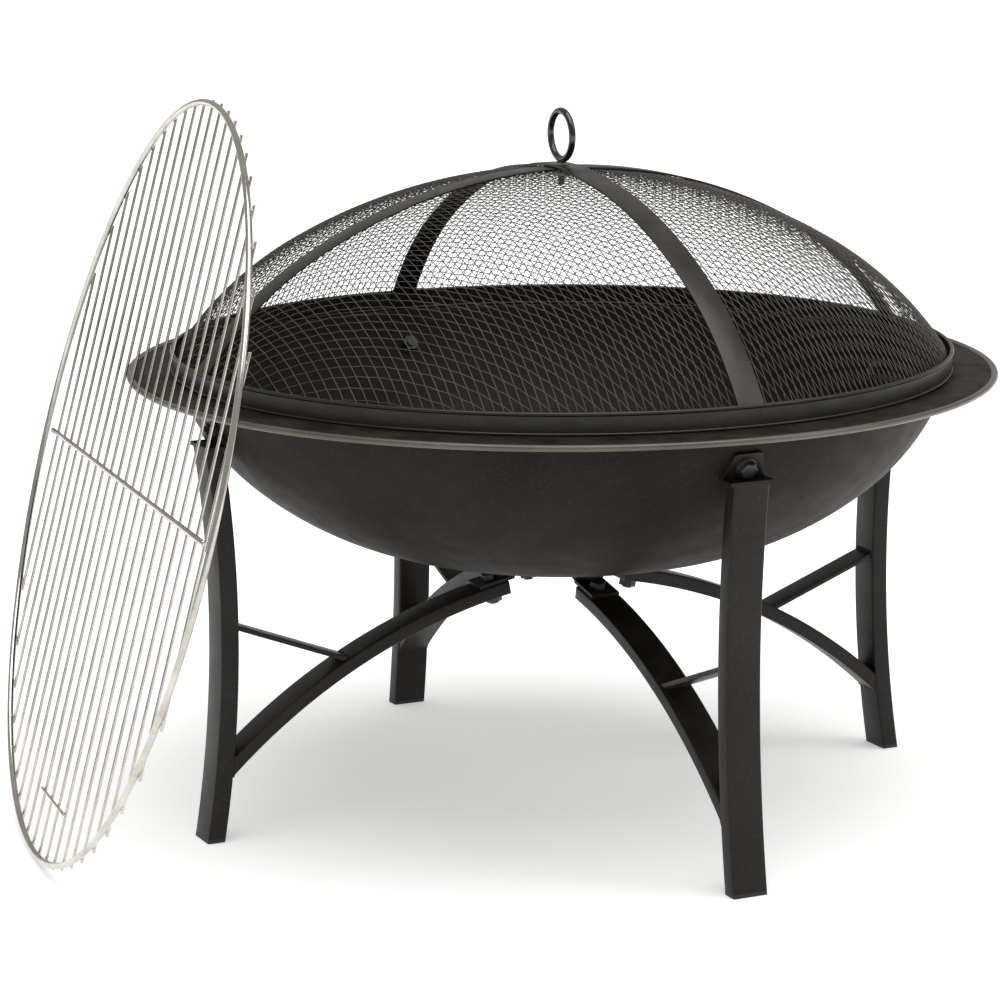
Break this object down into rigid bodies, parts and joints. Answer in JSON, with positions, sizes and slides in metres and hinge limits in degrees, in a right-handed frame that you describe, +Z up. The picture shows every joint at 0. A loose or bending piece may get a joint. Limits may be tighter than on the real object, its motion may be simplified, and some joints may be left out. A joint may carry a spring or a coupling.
{
  "type": "fire pit",
  "caption": "Round steel bowl on curved legs with a domed spark screen, and a round wire cooking grate leaning against its rim.",
  "frame": {"origin": "on the ground, under the middle of the whole object's box, leaning grate included", "axes": "+Z up; the grate leans on the rim on the -X side, at its -X -Y side as seen from above"},
  "size_m": [0.8822, 0.8676, 0.6349],
  "materials": {
    "body_black": "satin heat-resistant black paint",
    "screen_black": "satin black paint",
    "mesh_wire": "black painted wire mesh",
    "ring_gloss_black": "gloss black enamel",
    "fastener_black": "black oxide",
    "fastener_steel": "zinc plated",
    "foot_cap_plastic": "matte black plastic",
    "grate_chrome": "bright plated wire"
  },
  "bodies": {
    "pit_stand": {"fire_bowl": "body_black", "leg_front_right": "body_black", "foot_cap_front_right": "foot_cap_plastic", "brace_front_right": "body_black", "strut_front_right": "body_black", "leg_bracket_front_right": "body_black", "bowl_bracket_front_right": "body_black", "leg_back_right": "body_black", "foot_cap_back_right": "foot_cap_plastic", "brace_back_right": "body_black", "strut_back_right": "body_black", "leg_bracket_back_right": "body_black", "bowl_bracket_back_right": "body_black", "leg_back_left": "body_black", "foot_cap_back_left": "foot_cap_plastic", "brace_back_left": "body_black", "strut_back_left": "body_black", "leg_bracket_back_left": "body_black", "bowl_bracket_back_left": "body_black", "leg_front_left": "body_black", "foot_cap_front_left": "foot_cap_plastic", "brace_front_left": "body_black", "strut_front_left": "body_black", "leg_bracket_front_left": "body_black", "bowl_bracket_front_left": "body_black", "leg_bracket_bolts": "fastener_black", "leg_bracket_washers": "fastener_black", "leg_bracket_nuts": "fastener_black", "brace_bolts": "fastener_black", "brace_nuts": "fastener_black", "bowl_base_bolts": "fastener_black", "bowl_base_nuts": "fastener_black"},
    "spark_screen": {"screen_band": "screen_black", "screen_mesh": "mesh_wire", "screen_strap_lower": "screen_black", "screen_strap_upper": "screen_black", "lifting_ring": "ring_gloss_black", "lifting_ring_washer": "fastener_steel", "lifting_ring_nut": "fastener_steel"},
    "cooking_grate": {"grate_ring": "grate_chrome", "grate_wires": "grate_chrome", "grate_cross_bar": "grate_chrome", "grate_short_bar": "grate_chrome"}
  },
  "joints": [
    {"name": "screen_lift", "type": "slide", "parent": "pit_stand", "child": "spark_screen", "axis": [0.2457, 0.0813, 0.9659], "range_m": [0, 0.45]},
    {"name": "grate_lift", "type": "slide", "parent": "pit_stand", "child": "cooking_grate", "axis": [0, 0, 1], "range_m": [0, 0.4]}
  ]
}
